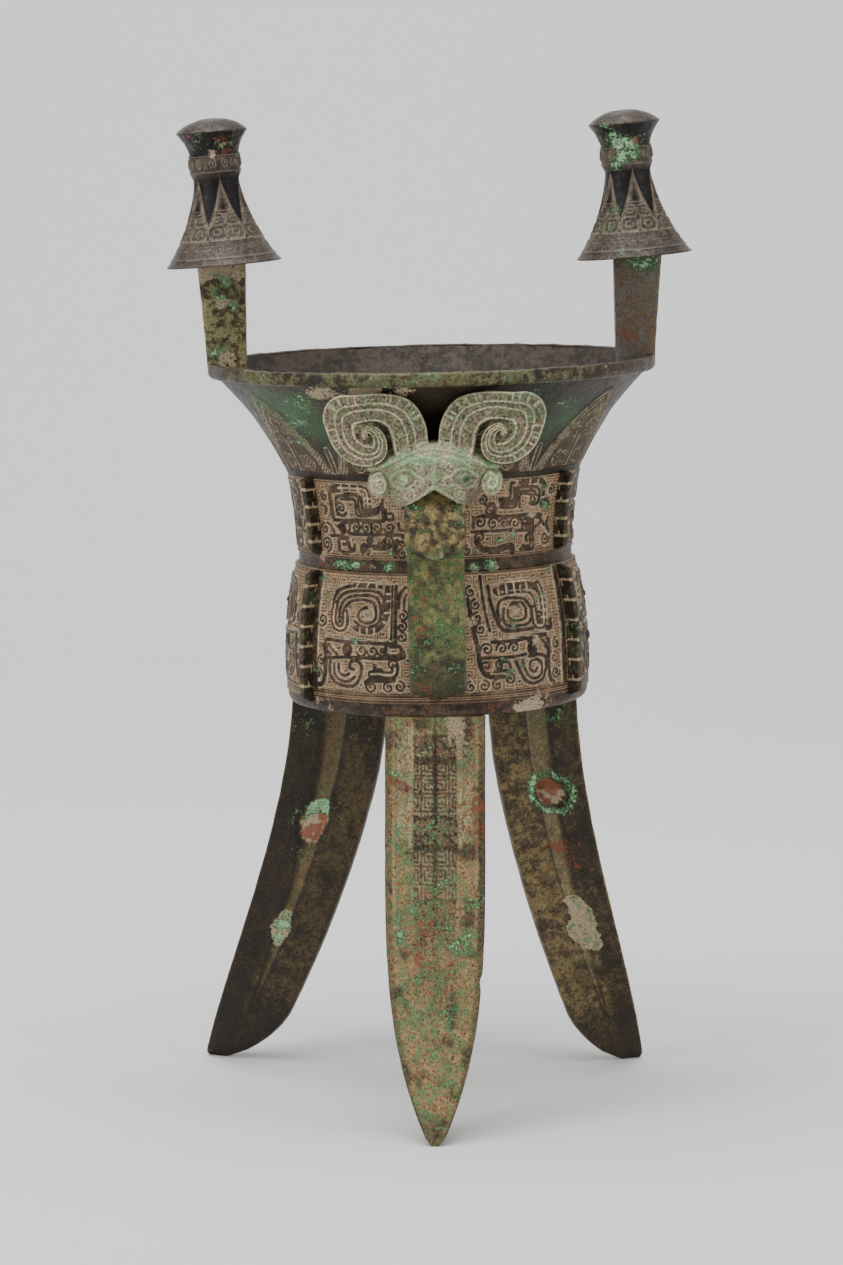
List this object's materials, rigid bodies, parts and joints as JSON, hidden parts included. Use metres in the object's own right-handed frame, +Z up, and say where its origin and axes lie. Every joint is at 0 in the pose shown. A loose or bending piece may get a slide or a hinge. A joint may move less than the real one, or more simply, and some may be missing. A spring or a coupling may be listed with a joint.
{
  "type": "jia wine vessel",
  "caption": "Tall bronze tripod wine vessel with a flaring mouth, blade-like legs, a strap handle with a horned animal head, and capped posts on the rim.",
  "frame": {"origin": "on the ground below the middle of the vessel's bounding box", "axes": "+Z up along the vessel, the handle and the front leg face -Y, the posts stand along X"},
  "size_m": [0.2664, 0.2427, 0.5039],
  "materials": {
    "patinated_bronze": "old bronze under a brown, black and green patina, with pale earth in the relief"
  },
  "bodies": {
    "root": {"jia_vessel": "patinated_bronze"}
  },
  "joints": []
}
